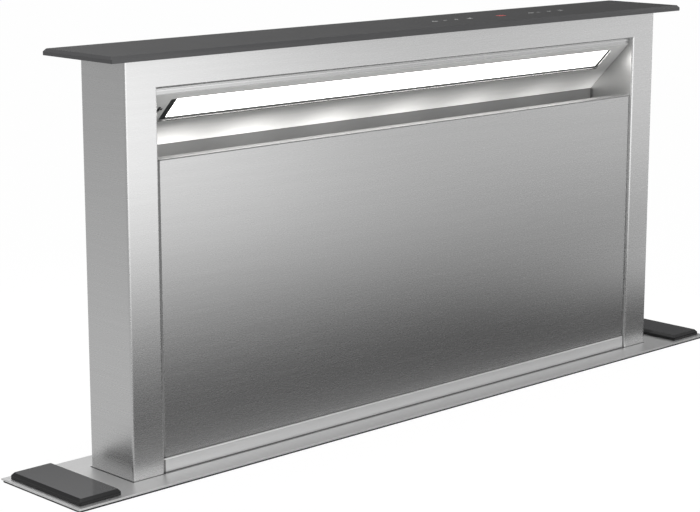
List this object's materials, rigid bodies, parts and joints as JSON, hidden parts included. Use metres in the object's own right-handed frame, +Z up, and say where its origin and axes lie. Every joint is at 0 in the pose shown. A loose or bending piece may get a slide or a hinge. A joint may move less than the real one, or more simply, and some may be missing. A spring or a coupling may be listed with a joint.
{
  "type": "downdraft vent",
  "caption": "Rise-up downdraft extractor for a worktop: brushed steel tower with a lit intake slot and black glass lid, over a cabinet casing with belt lift and scroll blower.",
  "frame": {"origin": "centre of the casing floor's underside, where the appliance stands on the cabinet floor", "axes": "+X along the rim to the user's right, +Y away from the user, +Z up; stored with the tower fully raised"},
  "size_m": [0.9, 0.2668, 1.1086],
  "materials": {
    "brushed_steel": "horizontally brushed",
    "galvanised": "galvanised sheet",
    "black_glass": "polished, bevelled edges",
    "opal": "opal, lit from behind",
    "circuit_board": "laminate",
    "rubber": "matt",
    "black_plastic": "moulded, fine texture",
    "grey_plastic": "moulded, fine texture",
    "acetal": "smooth bearing plastic",
    "cast_aluminium": "die cast",
    "mesh_aluminium": "expanded mesh and pressed frame",
    "shaft_steel": "ground",
    "brass": "turned"
  },
  "bodies": {
    "casing": {"rim_plate": "brushed_steel", "worktop_seal": "rubber", "tower_wiper": "rubber", "end_pad_left": "black_glass", "end_pad_right": "black_glass", "casing_shell": "galvanised", "service_cover": "galvanised", "floor_bracket_left": "galvanised", "floor_bracket_right": "galvanised", "guide_rail_left": "galvanised", "guide_rail_right": "galvanised", "shaft_bearing_left": "brass", "shaft_bearing_right": "brass", "idler_bracket_left": "galvanised", "idler_bracket_right": "galvanised", "toothed_belt_left": "rubber", "toothed_belt_right": "rubber", "lift_gearmotor": "cast_aluminium", "scroll_housing": "grey_plastic", "scroll_front": "grey_plastic", "inlet_bell": "black_plastic", "fan_motor": "cast_aluminium", "duct_adapter": "black_plastic", "duct_collar": "black_plastic", "flap_pin": "shaft_steel", "control_box": "galvanised", "control_board": "circuit_board", "control_box_cover": "galvanised", "cable_gland": "black_plastic"},
    "tower": {"tower_skin": "brushed_steel", "tower_back_panel": "brushed_steel", "lamp_canopy": "brushed_steel", "base_rail": "brushed_steel", "panel_magnet_left": "grey_plastic", "panel_magnet_right": "grey_plastic", "lamp_tray": "black_plastic", "led_board": "circuit_board", "lamp_diffuser": "opal", "glass_lid": "black_glass", "lid_carrier": "galvanised", "touch_housing": "black_plastic", "touch_board": "circuit_board", "grease_trough": "galvanised", "carriage_left": "acetal", "carriage_right": "acetal", "belt_clamp_left": "cast_aluminium", "belt_clamp_right": "cast_aluminium"},
    "front_panel": {"front_panel": "brushed_steel"},
    "filter_left": {"filter_frame_left": "mesh_aluminium", "filter_mesh_left": "mesh_aluminium"},
    "filter_right": {"filter_frame_right": "mesh_aluminium", "filter_mesh_right": "mesh_aluminium"},
    "cross_shaft": {"cross_shaft": "shaft_steel", "drive_pulley_left": "cast_aluminium", "drive_pulley_right": "cast_aluminium"},
    "idler_left": {"idler_pulley_left": "cast_aluminium"},
    "idler_right": {"idler_pulley_right": "cast_aluminium"},
    "fan_wheel": {"fan_wheel": "galvanised"},
    "flap_rear": {"nonreturn_flap_rear": "grey_plastic"},
    "flap_front": {"nonreturn_flap_front": "grey_plastic"}
  },
  "joints": [
    {"name": "tower_lift", "type": "slide", "parent": "casing", "child": "tower", "axis": [0, 0, 1], "range_m": [-0.38, 0]},
    {"name": "cross_shaft_spin", "type": "hinge", "parent": "casing", "child": "cross_shaft", "pos_m": [0, -0.02, 0.055], "axis": [1, 0, 0], "range_deg": [-1720, 10]},
    {"name": "idler_left_spin", "type": "hinge", "parent": "casing", "child": "idler_left", "pos_m": [-0.39, -0.02, 0.6876], "axis": [1, 0, 0], "range_deg": [-1720, 10]},
    {"name": "idler_right_spin", "type": "hinge", "parent": "casing", "child": "idler_right", "pos_m": [0.39, -0.02, 0.6876], "axis": [1, 0, 0], "range_deg": [-1720, 10]},
    {"name": "fan_spin", "type": "hinge", "parent": "casing", "child": "fan_wheel", "pos_m": [-0.02, -0.0973, 0.212], "axis": [0, 1, 0], "continuous": true},
    {"name": "flap_rear_swing", "type": "hinge", "parent": "casing", "child": "flap_rear", "pos_m": [0.2443, -0.1273, 0.0935], "axis": [0, 0, -1], "range_deg": [0, 72], "stiffness_Nm_per_rad": 0.01},
    {"name": "flap_front_swing", "type": "hinge", "parent": "casing", "child": "flap_front", "pos_m": [0.2443, -0.1273, 0.0935], "axis": [0, 0, 1], "range_deg": [0, 72], "stiffness_Nm_per_rad": 0.01},
    {"name": "panel_lift", "type": "slide", "parent": "tower", "child": "front_panel", "axis": [0, 0, 1], "range_m": [0, 0.008]},
    {"name": "filter_left_lift", "type": "slide", "parent": "tower", "child": "filter_left", "axis": [0, 0.1305, 0.9914], "range_m": [0, 0.01]},
    {"name": "filter_right_lift", "type": "slide", "parent": "tower", "child": "filter_right", "axis": [0, 0.1305, 0.9914], "range_m": [0, 0.01]}
  ],
  "couplings": [
    {"joint": "cross_shaft_spin", "follows": "tower_lift", "rad_per_m": 78.54},
    {"joint": "idler_left_spin", "follows": "tower_lift", "rad_per_m": 78.54},
    {"joint": "idler_right_spin", "follows": "tower_lift", "rad_per_m": 78.54}
  ]
}
